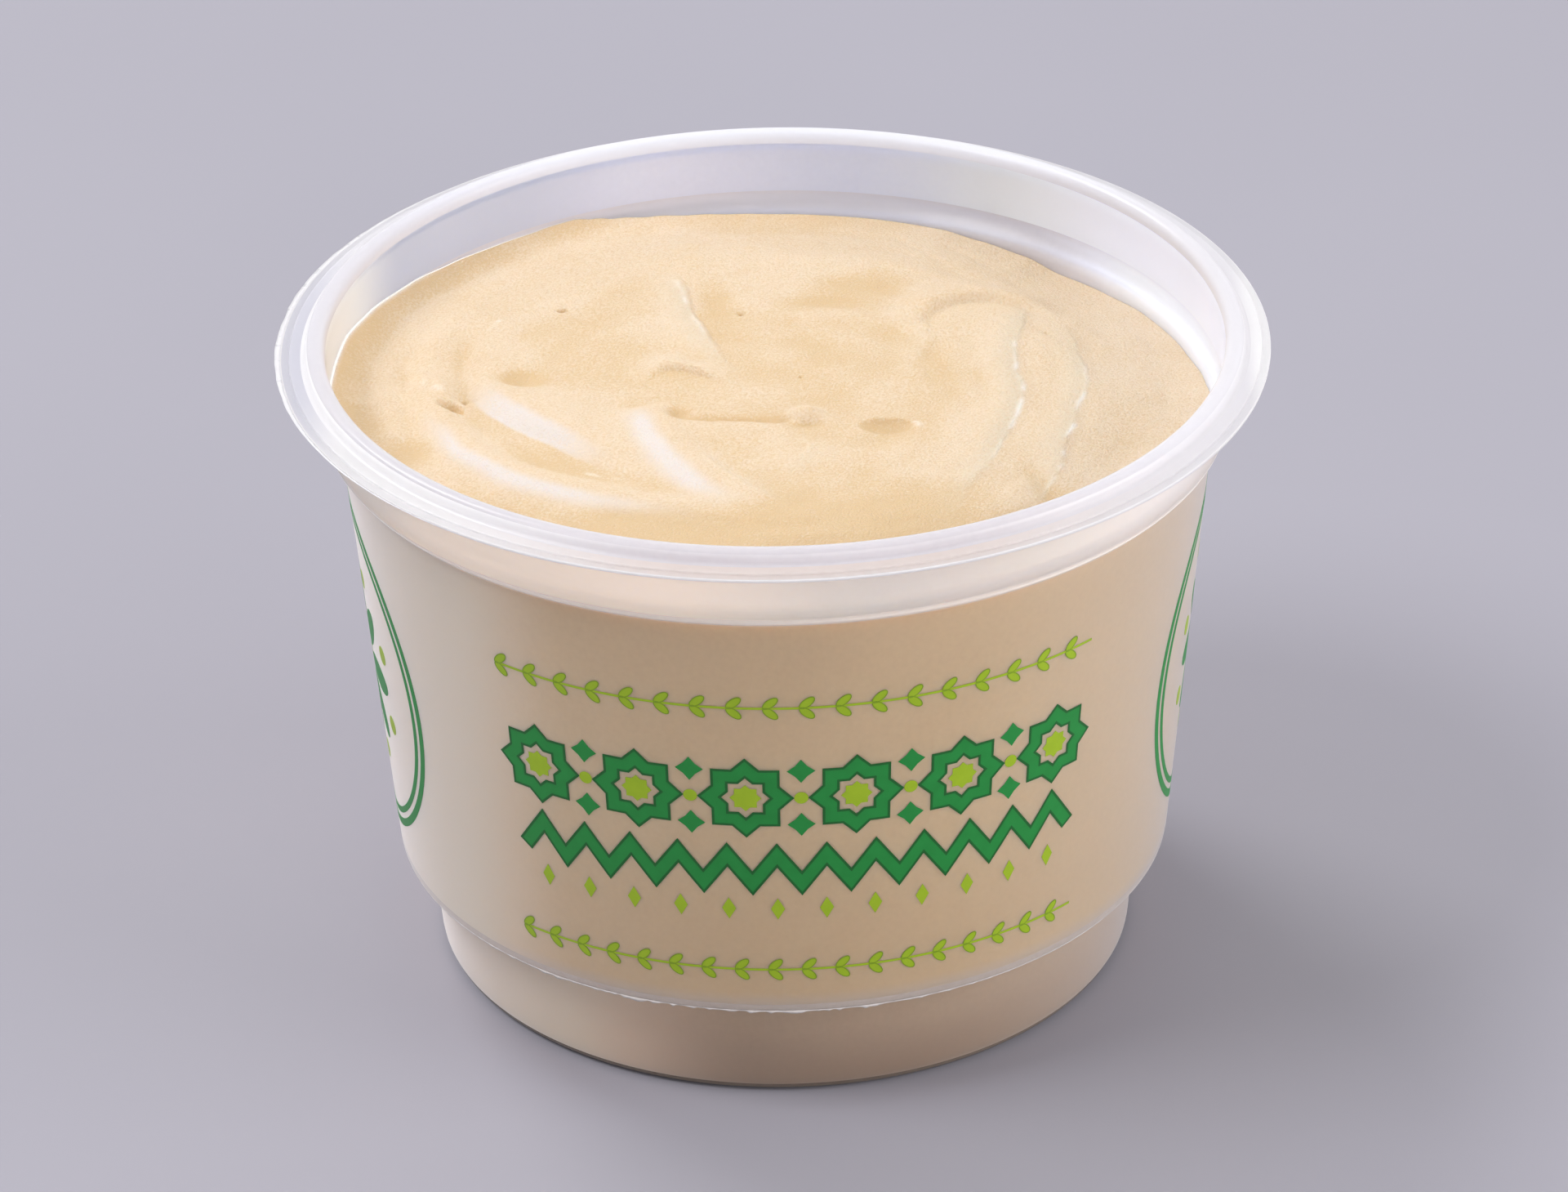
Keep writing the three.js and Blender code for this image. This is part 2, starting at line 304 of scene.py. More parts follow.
plastics = [
    # Painted shade and light on the wall: darker towards the bottom as painted shade, and lighter
    # at the far left and on the right as painted light. The greyer strip just above the ledge is
    # the plastic's own tone.
    milky_plastic(
        "filled_wall", clearness=0.4, gloss=0.8, haze=0.6, scatter=1.2,
        cloudy=(0.775, 0.58, 0.355), clear=(0.855, 0.645, 0.405),
        light_and_tone_turns=[("Z", 44, 17, 0.35, (0.66, 0.48, 0.29)),
               ("Z", shelf + 2.0, shelf, 0.6, (0.68, 0.59, 0.52)),
               ("X", -24, -38, 1.0, (1.0, 0.80, 0.63)),
               ("X", 18, 46, 0.3, (0.76, 0.62, 0.48))]),
    # Painted shade and light on the foot: darker towards the floor as painted shade, and lighter
    # at the left and on the right as painted light.
    milky_plastic(
        "filled_foot", clearness=0.4, gloss=0.8, haze=0.8, scatter=1.2,
        cloudy=(0.55, 0.41, 0.28), clear=(0.62, 0.465, 0.325),
        light_and_tone_turns=[("Z", 12, 1.5, 0.75, (0.36, 0.24, 0.165)),
               ("X", -3, -27, 0.95, (1.0, 0.77, 0.59)),
               ("X", 14, 42, 0.4, (0.73, 0.57, 0.43))]),
    # The dark bottom corner of the foot is painted shade, where the rounded foot meets the floor.
    milky_plastic(
        "foot_corner", clearness=0.0, gloss=0.4, haze=0.0, scatter=0.6,
        cloudy=(0.17, 0.13, 0.10), clear=(0.21, 0.165, 0.13)),
    milky_plastic(
        "thick_ledge", clearness=0.3, gloss=0.8, haze=0.5, scatter=1.2,
        cloudy=(0.60, 0.515, 0.455), clear=(0.68, 0.59, 0.53)),
    # Painted light on the inner slope: a little bluer towards the back, and much lighter at the
    # right, where light falls on the inside.
    milky_plastic(
        "inner_slope", clearness=0.35, gloss=0.3, haze=0.0, scatter=1.2,
        cloudy=(0.64, 0.625, 0.675), clear=(0.69, 0.675, 0.725),
        light_and_tone_turns=[("Y", 38, 50, 0.7, (0.67, 0.67, 0.735)),
               ("X", 30, 46, 1.0, (0.90, 0.92, 1.0))]),
    # The free band's warm colour is painted light from the hummus inside the tub, and it is greyer
    # towards the right as painted shade.
    milky_plastic(
        "free_band", clearness=0.5, gloss=0.8, haze=0.0, scatter=1.2,
        cloudy=(0.97, 0.87, 0.80), clear=(1.0, 0.91, 0.84),
        light_and_tone_turns=[("X", 0, 30, 0.7, (0.86, 0.81, 0.77))]),
    # Painted shade and light on the inside of the band: darker on the left as painted shade, and
    # lighter at the far left and on the right as painted light.
    milky_plastic(
        "inner_band", clearness=0.45, gloss=0.5, haze=0.0, scatter=1.2,
        cloudy=(0.68, 0.72, 0.88), clear=(0.72, 0.76, 0.92),
        light_and_tone_turns=[("X", -14, -35, 0.9, (0.54, 0.59, 0.72)),
               ("X", -45, -52, 0.95, (0.97, 0.99, 1.0)),
               ("X", 8, 38, 0.95, (0.89, 0.94, 1.0))]),
    # Warm like the free band above it, as painted light from the hummus.
    milky_plastic(
        "band_edge", clearness=0.2, gloss=0.8, haze=0.0, scatter=1.2,
        cloudy=(0.91, 0.82, 0.75), clear=(0.95, 0.86, 0.79)),
    # Painted light and shade round the lip: warm at the front as painted light from the hummus
    # below, near white on the left and at the far right as painted highlights, cooler and a little
    # lighter at the right and the back, and darker at the far left as painted shade.
    milky_plastic(
        "thin_lip", clearness=0.35, gloss=0.5, haze=0.0, scatter=3.0,
        cloudy=(0.74, 0.64, 0.60), clear=(0.79, 0.69, 0.65),
        light_and_tone_turns=[("X", -8, -42, 0.9, (0.96, 0.955, 0.99)),
               ("X", 18, 50, 0.9, (0.76, 0.75, 0.795)),
               ("Y", 8, 42, 0.85, (0.73, 0.72, 0.77)),
               ("X", -49, -56, 0.95, (0.62, 0.62, 0.71)),
               ("X", 54, 57, 1.0, (1.0, 0.99, 0.99))]),
    # Painted light on the bead's flank: much lighter on the left and a little lighter on the
    # right, and cooler at the back.
    milky_plastic(
        "bead_flank", clearness=0.15, gloss=0.3, haze=0.0, scatter=3.0,
        cloudy=(0.68, 0.655, 0.69), clear=(0.72, 0.695, 0.73),
        light_and_tone_turns=[("X", -8, -42, 0.9, (0.93, 0.925, 0.96)),
               ("X", 18, 50, 0.9, (0.76, 0.745, 0.77)),
               ("Y", 12, 34, 0.8, (0.67, 0.665, 0.715))]),
    # Painted light and shade on the bead: lighter and bluer at the back and a little lighter on
    # the right as painted light, and a little darker on the left as painted shade.
    milky_plastic(
        "thick_bead", clearness=0.2, gloss=0.3, haze=0.0, scatter=3.0,
        cloudy=(0.625, 0.60, 0.64), clear=(0.665, 0.64, 0.68),
        light_and_tone_turns=[("Y", 15, 50, 0.9, (0.77, 0.785, 0.87)),
               ("X", -15, -50, 0.5, (0.61, 0.60, 0.635)),
               ("X", 22, 50, 0.7, (0.69, 0.68, 0.71))]),
    milky_plastic(
        "sharp_edge", clearness=0.1, gloss=0.3, haze=0.0, scatter=3.0,
        cloudy=(0.85, 0.82, 0.84), clear=(0.89, 0.86, 0.88)),
]
for plastic in plastics:
    tub.data.materials.append(plastic)

# A faint painted glow, an emission, in the free plastic stands in for daylight passing through it:
# out at the left of the front, and in at the right.
# It fades again at the far left.
painted_glow_zones = [
    ("free_band", 12, -16, (1.0, 0.68, 0.44)),
    ("inner_band", 24, 46, (0.46, 0.48, 0.85)),
    ("inner_slope", 36, 50, (0.0, 0.07, 0.3)),
]
far_left = ("X", -38, -50, 0.8)
painted_glow_strength = 0.2
unlit = (0, 0, 0)
for name, start, end, colour in painted_glow_zones:
    tree = bpy.data.materials[name].node_tree
    shader, principled = Value(tree), tree.nodes["Principled BSDF"]
    glow = blend_colours(shader, turn_share(shader, "X", start, end, 1.0), unlit, colour)
    glow = laid_over(shader, turn_share(shader, *far_left), glow, unlit)
    feed(shader, principled, "Emission Color", glow)
    principled.inputs["Emission Strength"].default_value = painted_glow_strength


# Where one plastic gives way to the next, in millimetres.
foot_corner_top = 1.0
inner_slope_start = 64
edge_depth = 0.16


def plastic_at(radius, height):
    """Which plastic shows at a place on the tub: thick and free parts are milkier."""
    # The bottom corner takes the painted shade.
    if height < foot_corner_top:
        return "foot_corner"
    if height < ledge_height and radius < foot_top_radius + 0.1:
        return "filled_foot"
    if height < shelf and radius > foot_top_radius + 0.1:
        return "thick_ledge"
    inside = radius < inner_radius(height) + 0.05
    if inside and inner_slope_start < height < inner_slope_high:
        return "inner_slope"
    if height < shoulder_height - 0.2:
        return "filled_wall"
    if height < shoulder_height + 1.3 and radius > band_radius - 0.7:
        return "band_edge"
    if radius < band_radius - 0.4 and height < lip_low + 0.7:
        return "inner_band"
    if height < lip_low - 0.4:
        return "free_band"
    if radius > lip_radius - edge_depth:
        return "sharp_edge"
    if bead_outer - 0.25 < radius < bead_outer + 0.7:
        return "bead_flank"
    return "thin_lip" if radius > bead_outer else "thick_bead"


plastic_names = [plastic.name for plastic in plastics]
for face in tub.data.polygons:
    radius, height = math.hypot(face.center.x, face.center.y) / MM, face.center.z / MM
    face.material_index = plastic_names.index(plastic_at(radius, height))
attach(tub, "root")
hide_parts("tub")


# The flash on the rim: a thin clear fin squeezed out where the mould closes round the lip. It
# is torn and wavy, widest on the left, and nearly gone at the front.

flash_height = 77.45
flash_half_thickness = 0.06
flash_reach = tub_high[0] / MM - lip_radius
flash_widest = math.radians(170)
flash_tears = ((0.55, 40), (0.3, 130), (0.15, 400))  # how deep, and how many round the rim
flash_steps = 1440
flash_random = np.random.default_rng(5)


def wander(angles, waves, random):
    """A smooth closed random curve between 0 and 1, of this many waves round the tub."""
    knots = random.random(waves)
    place = angles / (2 * math.pi) * waves
    first = np.floor(place).astype(int)
    share = place - first
    share = share * share * (3 - 2 * share)
    return knots[first % waves] * (1 - share) + knots[(first + 1) % waves] * share


flash_angles = np.arange(flash_steps) * 2 * math.pi / flash_steps


def ring_between(name, inner, outer):
    """A closed band round the tub between an inner and an outer edge of (radius, low, high)."""
    cos, sin = np.cos(flash_angles), np.sin(flash_angles)
    corners = []
    for (radius, low, high), top in ((inner, False), (outer, False), (outer, True), (inner, True)):
        height = (high if top else low) + 0 * flash_angles
        corners.append(np.stack([radius * cos, radius * sin, height], axis=-1))
    vertices = np.stack(corners, axis=1).reshape(-1, 3)
    faces = []
    for i in range(flash_steps):
        here, there = 4 * i, 4 * ((i + 1) % flash_steps)
        for j in range(4):
            k = (j + 1) % 4
            faces.append((here + j, there + j, there + k, here + k))
    return new_piece(name, vertices, faces)


flash_left = np.clip(np.cos(flash_angles - flash_widest), 0, 1) ** 5
flash_ragged = sum(
    depth * wander(flash_angles, waves, flash_random) for depth, waves in flash_tears)
flash_width = flash_reach * np.clip(
    0.95 * flash_left + 0.5 * flash_left ** 0.6 * (flash_ragged - 0.45), -0.1, 1)
rim_flash = ring_between(
    "rim_flash",
    (lip_radius - 0.1, flash_height - flash_half_thickness, flash_height + flash_half_thickness),
    (lip_radius + flash_width, flash_height - 0.4 * flash_half_thickness,
     flash_height + 0.4 * flash_half_thickness),
)
flash_shader, flash_plastic, flash_material = finish_of(
    "clear_flash", IOR=1.4, Coat_Weight=0.7, Coat_Roughness=0.15,
    Subsurface_Weight=1, Subsurface_Scale=0.4 * MM, Subsurface_Radius=(1, 1, 1))
feed(flash_shader, flash_plastic, "Base Color", blend_colours(
    flash_shader, noise(flash_shader, 300), (0.78, 0.77, 0.83), (0.88, 0.87, 0.92)))
feed(flash_shader, flash_plastic, "Roughness", 0.2 + 0.2 * noise(flash_shader, 500))
rim_flash.data.materials.append(flash_material)
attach(rim_flash, "root")


# The flash under the ledge: the same seam at the foot leaves a white ragged line on the lower
# edge of the ledge, frayed at the front and smooth elsewhere.

fray_drop = 0.4
fray_longest = math.radians(-107)
fray_front = np.clip(np.cos(flash_angles - fray_longest), 0, 1) ** 4
fray = fray_front * (0.7 * wander(flash_angles, 480, flash_random) ** 3
                     + 0.5 * wander(flash_angles, 110, flash_random) ** 4)
fray += 0.12 * wander(flash_angles, 40, flash_random)
ledge_flash = ring_between(
    "ledge_flash",
    (ledge_radius - 0.26, ledge_height + 0.04 - fray_drop * fray, ledge_height + 0.08),
    (ledge_radius - 0.03 + 0.12 * fray, ledge_height + 0.02 - fray_drop * fray,
     ledge_height + 0.13),
)
fray_shader, fray_plastic, fray_material = finish_of("white_flash", IOR=1.49)
feed(fray_shader, fray_plastic, "Base Color", blend_colours(
    fray_shader, noise(fray_shader, 900, 4), (0.42, 0.36, 0.33), (0.86, 0.83, 0.82)))
feed(fray_shader, fray_plastic, "Roughness", 0.3 + 0.3 * noise(fray_shader, 900))
ledge_flash.data.materials.append(fray_material)
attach(ledge_flash, "root")


# The hummus: a smooth thick dip that fills the tub against its wall, up to the shoulder in
# front and on the right, and smeared over it on the left. A spoon has left flat ridges, soft
# furrows, torn edges with a dull frosted skin, a few pits and burst bubbles.

into_wall = 0.12
level = 70.4
calm_radius = 30
rest_level = 69.7
climb_width = 5.0
relief_end = 5
around = 640
surface_rings = 200

# Height of the edge round the tub, at angles in degrees from the right and towards the back.
edge_heights = [
    (0, 69.35), (5, 69.05), (15, 68.4), (28, 68.05), (38, 67.55), (46, 67.35), (53, 68.1),
    (60, 68.5), (66, 68.9), (78, 69.05), (90, 69.15), (95, 69.3), (101, 69.55), (107, 69.9),
    (112, 70.3), (115, 70.7), (118, 71.1), (121, 71.05), (125, 70.9), (131, 70.9),
    (139, 71.1), (147, 71.5), (159, 72.1), (166, 72.55), (172, 72.05), (176, 71.65),
    (181, 71.3), (198, 70.8), (213, 69.4), (228, 68.5), (262, 67.9), (305, 68.0),
    (340, 68.6), (356, 69.2), (360, 69.35),
]

# Spoon strokes: ridges, or furrows where the rise is negative. Each side has its own width,
# seen along the path, and the crisp side ends in a clear line. Frost is the dull torn skin.
# A painted glint lies along a broken bright line, and a painted highlight on a flank that shines
# (how much, and from where to where along the path); fade is the share of the path over which the
# stroke rises.
plain_stroke = {"crisp": "", "frost": 0, "bead": 0, "painted_highlight": None, "fade": 0.35}
strokes = [
    {"rise": 1.1, "left": 2.8, "right": 3.6, "painted_highlight": (1, 0.33, 0.9),
     "path": [(-22, 41), (-34, 31), (-40.5, 16), (-40.6, 3), (-38.6, -6), (-35.6, -12.6),
              (-30.5, -18.4), (-24, -22.6), (-16, -26), (-5, -29), (7, -30.5)]},
    {"rise": 1.35, "left": 5.5, "right": 3.5, "crisp": "right", "fade": 0.55,
     "painted_highlight": (1, 0.42, 0.95),
     "path": [(-19, 35), (-28, 28), (-33, 19.5), (-34.2, 10.5), (-33.4, 4.5), (-31, -1),
              (-27.6, -5.6), (-23.5, -9.6), (-19, -14), (-15.5, -17.5)]},
    {"rise": -0.4, "left": 2.4, "right": 2.4,
     "path": [(-33, 27), (-37.4, 15), (-37.6, 5), (-36, -4), (-32.4, -11), (-26.5, -16.8),
              (-18, -21), (-8, -26)]},
    {"rise": 0.5, "left": 1.6, "right": 1.4,
     "path": [(-30, 38.5), (-41, 25), (-46, 12), (-46.4, 1), (-44.4, -9), (-40.5, -17.5)]},
    {"rise": -0.2, "left": 1.4, "right": 1.4,
     "path": [(-30, 34.5), (-38.5, 24), (-43.2, 12), (-43.6, 2), (-41.8, -7), (-38.5, -15)]},
    {"rise": 1.0, "left": 2.6, "right": 5.0, "painted_highlight": (1, 0.02, 0.85), "fade": 0.12,
     "path": [(-14.6, -1.2), (-13.6, -6.2), (-12.3, -11.4), (-10.4, -16.6), (-7.2, -21.1),
              (-2.9, -25.3), (1.8, -28.4)]},
    {"rise": 0.14, "left": 0.6, "right": 0.5, "frost": 0.3,
     "path": [(-9.6, -13), (-8.2, -16.6), (-5.6, -20.5), (-1.4, -25), (2, -27.5)]},
    {"rise": 0.6, "left": 5.0, "right": 3.2,
     "path": [(-27, 30), (-18.6, 35.8), (-8.3, 37.6), (1.2, 36.8), (8, 33.6), (13, 27.5)]},
    {"rise": -0.4, "left": 3.0, "right": 3.0,
     "path": [(4, 31), (11, 29.6), (17, 26.4)]},
    {"rise": 0.25, "left": 2.4, "right": 1.2, "crisp": "right", "frost": 0.3,
     "path": [(15, 5), (17.6, 12.4), (17.4, 18.6), (12.2, 21.8)]},
    {"rise": 0.16, "left": 1.4, "right": 4.6, "crisp": "left", "frost": 1, "fade": 0.08,
     "path": [(30.3, 25), (29, 14.3), (28.2, 9.1), (29, 0.6), (28.5, -3.5), (26.7, -10.8),
              (24.2, -18), (20.9, -25.7), (19, -34)]},
    {"rise": 0.05, "left": 0.28, "right": 0.3, "bead": 0.8,
     "path": [(29.1, 16), (28.3, 9.1), (29.2, 0.6), (28.7, -3.5), (26.9, -10.8),
              (24.4, -18)]},
    {"rise": 0.18, "left": 1.4, "right": 3.2, "crisp": "left", "frost": 0.9,
     "path": [(31.5, 27), (33.7, 20.5), (35.6, 13), (36.6, 6.1), (36.4, 0.9), (34.8, -5.8),
              (33.4, -12.2), (32.4, -18.4), (29.8, -25.2), (26, -31.5)]},
    {"rise": 0.05, "left": 0.28, "right": 0.3, "bead": 0.8,
     "path": [(36.6, 8), (36.6, 1), (35, -5.8), (33.6, -12.2), (32.6, -18.4), (30, -25)]},
    {"rise": 1.25, "left": 3.4, "right": 1.8, "crisp": "right", "fade": 0.2,
     "path": [(15.8, 17.5), (18.4, 21.4), (21.4, 24.6), (25.7, 25.9), (30.8, 24.8), (35.2, 22)]},
    {"rise": 0.42, "left": 0.8, "right": 2.4, "crisp": "left", "frost": 0.8,
     "path": [(-12.4, 33), (-11.2, 28.5), (-9.9, 21.2), (-7.6, 13), (-4.6, 6)]},
    {"rise": 0.08, "left": 0.3, "right": 0.4, "bead": 0.5,
     "path": [(-11.9, 31), (-11.3, 27.5), (-10, 21.2), (-8.4, 15)]},
    {"rise": 0.75, "left": 2.2, "right": 1.0, "crisp": "right", "frost": 0.3,
     "path": [(-16, 4), (-13.7, 7), (-10.8, 7.4), (-8.2, 5.8), (-5.6, 4)]},
    {"rise": 0.35, "left": 1.6, "right": 1.6, "crisp": "right",
     "path": [(-43.6, 9), (-42, 5.4), (-39.4, 2.4), (-36.8, 0.6)]},
    {"rise": -0.6, "left": 0.8, "right": 0.5,
     "path": [(-13.5, -5.0), (-9.6, -5.6), (-4.9, -6.0), (0.9, -6), (3.6, -6.2)]},
    {"rise": 0.4, "left": 1.4, "right": 2.4,
     "path": [(-12, -7.8), (-5, -8.2), (2, -8.4)]},
    {"rise": -0.1, "left": 0.5, "right": 0.5,
     "path": [(9, 47), (14.2, 44.3), (17.7, 40.2), (20.8, 36.1), (23.9, 31.1)]},
    {"rise": -0.08, "left": 0.5, "right": 0.5,
     "path": [(16, 45.5), (23, 40.5), (28.5, 33.5), (31, 28)]},
    {"rise": 0.1, "left": 0.45, "right": 0.45, "frost": 0.4,
     "path": [(1.6, -10.6), (3.9, -13.4), (2.6, -16.4), (-0.4, -17.6)]},
    {"rise": 0.05, "left": 0.3, "right": 0.3, "bead": 0.7,
     "path": [(-22.6, -18.2), (-20, -19.6), (-17.2, -20.8)]},
    {"rise": 0.05, "left": 0.3, "right": 0.3, "bead": 0.5,
     "path": [(-34.4, 17.6), (-33.6, 19.4), (-32.2, 21.2)]},
    {"rise": 0.05, "left": 0.35, "right": 0.35, "bead": 1,
     "path": [(15.7, -6.9), (16.5, -7.8), (16.2, -9)]},
    {"rise": 0.12, "left": 0.5, "right": 0.7, "bead": 0.8,
     "path": [(-43.4, 7), (-42.5, 5.1), (-41.3, 3.6), (-39.1, 1.4)]},
]

# Hollows, or bumps where the depth is negative: place, half sizes, turn in degrees, depth, and
# whether the rim is crisp.
hollows = [
    ((-30.4, 5.0), (2.9, 2.4), 5, 1.6, False),
    ((-38.3, -2.1), (2.0, 1.2), -38, 1.6, True),
    ((12.8, -7.9), (3.4, 2.0), 0, 1.0, True),
    ((16.2, -8.2), (0.8, 0.9), 0, -0.25, False),
    ((-11.6, -4.2), (1.3, 1.3), -20, 1.1, False),
    ((3.5, -5.2), (1.8, 1.5), 0, -1.3, False),
    ((3.4, -7.4), (1.6, 0.7), 0, 0.5, False),
    ((-43.0, -12.0), (2.6, 3.0), 30, 0.7, False),
    ((-7.4, 25.4), (2.2, 4.0), 0, 0.6, False),
    ((6.0, 24.5), (4.4, 1.6), 0, 0.45, False),
    ((30.5, -21.5), (1.8, 4.6), 15, 0.6, False),
    ((-25.7, 23.3), (0.75, 0.5), 0, 0.9, True),
    ((-4.1, 21.5), (0.5, 0.4), 0, 0.6, True),
    ((2.9, 4.6), (0.35, 0.3), 0, 0.35, True),
    ((-36.6, -0.2), (0.45, 0.6), 0, 0.7, True),
    ((32.6, 15.6), (0.5, 0.3), 0, 0.5, True),
]

# Strokes stray from their paths in wide waves and tremble in fine ones: reach and size.
stray, stray_size = 0.35, 4.5
tremble, tremble_size = 0.1, 1.1
stroke_tail = 0.35  # the share of the path over which a stroke ends

# The frosted skin reaches further on the torn side of a stroke than on its back.
frost_reach, frost_back = 2.4, 0.4

# Lines that the spoon leaves round the middle: their height, size round it, size across, seed.
brushed_lines = [(0.2, 7, 4.2, 5), (0.09, 3, 1.9, 6), (0.025, 5, 0.7, 7)]

# Soft waves all over: their height, size in x, size in y, seed.
soft_waves = [(0.11, 7, 5, 9), (0.04, 2.6, 2, 10)]


def uneven(x, y, seed):
    """Smooth random values between -1 and 1 over a plane, with cells of one unit."""
    lattice = np.random.default_rng(seed).uniform(-1, 1, (128, 128))
    column, row = np.floor(x).astype(int), np.floor(y).astype(int)
    across, up = smooth_step(x - column), smooth_step(y - row)
    low = lattice[row % 128, column % 128] * (1 - across)
    low += lattice[row % 128, (column + 1) % 128] * across
    high = lattice[(row + 1) % 128, column % 128] * (1 - across)
    high += lattice[(row + 1) % 128, (column + 1) % 128] * across
    return low * (1 - up) + high * up


def curve_through(points, steps=60):
    """A smooth curve through points, as an array of places."""
    points = np.array(points, float)
    last = len(points) - 1
    place = np.linspace(0, last, steps + 1)
    i = np.minimum(place.astype(int), last - 1)
    t = (place - i)[:, None]
    before, here = points[np.maximum(i - 1, 0)], points[i]
    there, after = points[i + 1], points[np.minimum(i + 2, last)]
    leave, arrive = (there - before) / 2, (after - here) / 2
    return ((2 * here - 2 * there + leave + arrive) * t ** 3
            + (3 * there - 3 * here - 2 * leave - arrive) * t ** 2 + leave * t + here)


def beside(points, x, y):
    """Distance from a curve, side of it (positive on its left) and share of its length."""
    nearest = np.full(x.shape, np.inf)
    side, along = np.zeros(x.shape), np.zeros(x.shape)
    count = len(points) - 1
    for i in range(count):
        step = points[i + 1] - points[i]
        dx, dy = x - points[i][0], y - points[i][1]
        t = np.clip((dx * step[0] + dy * step[1]) / (step @ step), 0, 1)
        away = (dx - t * step[0]) ** 2 + (dy - t * step[1]) ** 2
        closer = away < nearest
        nearest[closer] = away[closer]
        side[closer] = (step[0] * dy - step[1] * dx)[closer]
        along[closer] = ((i + t) / count)[closer]
    return np.sqrt(nearest), side, along


def wall_edge(angle):
    """Height at which the hummus meets the tub."""
    degrees, heights = np.array(edge_heights, float).T
    turn = np.degrees(angle) % 360
    after = np.clip(np.searchsorted(degrees, turn, side="right"), 1, len(degrees) - 1)
    share = smooth_step((turn - degrees[after - 1]) / (degrees[after] - degrees[after - 1]))
    return heights[after - 1] * (1 - share) + heights[after] * share


def swirl(x, y):
    """Height of the surface over places in plan, and how far each skin covers it."""
    radius, angle = np.hypot(x, y), np.arctan2(y, x)
    edge = wall_edge(angle)
    end, rest = inner_radius(edge) + into_wall, np.minimum(edge, rest_level)
    fall = smooth_step((radius - calm_radius) / (end - calm_radius))
    climb = smooth_step((radius - end + climb_width) / climb_width)
    height = level + (rest - level) * fall + (edge - rest) * climb
    bent_x = (x + stray * uneven(x / stray_size, y / stray_size, 1)
              + tremble * uneven(x / tremble_size, y / tremble_size, 2))
    bent_y = (y + stray * uneven(x / stray_size, y / stray_size, 3)
              + tremble * uneven(x / tremble_size, y / tremble_size, 4))
    relief, frost, painted_highlight, bead = (np.zeros(x.shape) for _ in range(4))
    for stroke in strokes:
        stroke = {**plain_stroke, **stroke}
        distance, side, along = beside(curve_through(stroke["path"]), bent_x, bent_y)
        share = distance / np.where(side > 0, stroke["left"], stroke["right"])
        soft = np.exp(-(share ** 2))
        crisp = np.clip(1 - share ** 2, 0, 1) ** 1.3
        if stroke["crisp"]:
            profile = np.where((side > 0) == (stroke["crisp"] == "left"), crisp, soft)
        else:
            profile = soft
        taper = smooth_step(along / stroke["fade"]) * smooth_step((1 - along) / stroke_tail)
        relief += stroke["rise"] * taper * profile
        torn = (side > 0) != (stroke["crisp"] == "left")
        spread = np.where(torn, frost_reach, frost_back)
        frost = np.maximum(frost, stroke["frost"] * taper * np.exp(-((distance / spread) ** 2)))
        # A painted glint along the line, broken in places.
        if stroke["bead"]:
            broken = np.clip(0.4 + uneven(x / 1.5, y / 1.5, 11), 0, 1)
            bead = np.maximum(bead, stroke["bead"] * np.sqrt(taper) * soft * broken)
        # A painted highlight on the flank on the right of the path.
        if stroke["painted_highlight"]:
            most, start, end_at = stroke["painted_highlight"]
            stretch = smooth_step((along - start) / 0.2) * smooth_step((end_at - along) / 0.25)
            end_of_flank = 0.15 if stroke["crisp"] else 0.7
            flank = smooth_step(share / 0.5) * smooth_step((1.1 - share) / end_of_flank)
            flank = np.where(side < 0, flank, 0)
            painted_highlight = np.maximum(painted_highlight, most * stretch * flank)
    hollow = np.zeros(x.shape)
    for (at_x, at_y), (long, short), turn, depth, crisp in hollows:
        cos, sin = math.cos(math.radians(turn)), math.sin(math.radians(turn))
        across = ((x - at_x) * cos + (y - at_y) * sin) / long
        down = ((y - at_y) * cos - (x - at_x) * sin) / short
        away = across ** 2 + down ** 2
        bowl = depth * (np.clip(1 - away, 0, 1) if crisp else np.exp(-away))
        relief -= bowl
        hollow += bowl
    brushed = smooth_step((radius - 8) / 10)
    for rise, long, wide, seed in brushed_lines:
        relief += rise * brushed * uneven(18 * angle / long + 40, radius / wide, seed)
    for rise, size_x, size_y, seed in soft_waves:
        relief += rise * uneven(x / size_x, y / size_y, seed)
    # The tone is painted shade: deeper low down, in hollows, at the front and where the edge
    # climbs. It is paler on the right and at the back as painted light, and varies a little at
    # random.
    painted_shade_and_tone = 0.4 - 1.5 * relief + 0.5 * hollow + 0.2 * uneven(x / 6, y / 6, 8)
    painted_shade_and_tone += 1.7 * smooth_step((-y - 20) / 18) + 0.6 * climb * smooth_step((edge - 70) / 1.5)
    painted_shade_and_tone -= 0.6 * smooth_step((x - 14) / 14) + 0.3 * smooth_step((y - 12) / 16) * (1 - climb)
    # A pale line along the edge where it climbs the wall, in the colour of the painted highlights.
    edge_line = smooth_step((radius - end + 0.7) / 0.5) * smooth_step((edge - 70.9) / 0.8)
    painted_highlight = np.maximum(painted_highlight, 0.9 * edge_line)
    height += relief * smooth_step((end - radius) / relief_end)
    return height, frost, painted_highlight, bead, np.clip(painted_shade_and_tone, 0, 1)


hummus_angles = np.arange(around) * 2 * math.pi / around
edge_level = wall_edge(hummus_angles)
edge_radius = inner_radius(edge_level) + into_wall
shares = np.linspace(0, 1, surface_rings + 1)[1:]
plan_x = shares[:, None] * edge_radius * np.cos(hummus_angles)
plan_y = shares[:, None] * edge_radius * np.sin(hummus_angles)
top_heights, *top_skins = swirl(plan_x, plan_y)
top_rings = np.stack([plan_x, plan_y, top_heights], axis=-1)

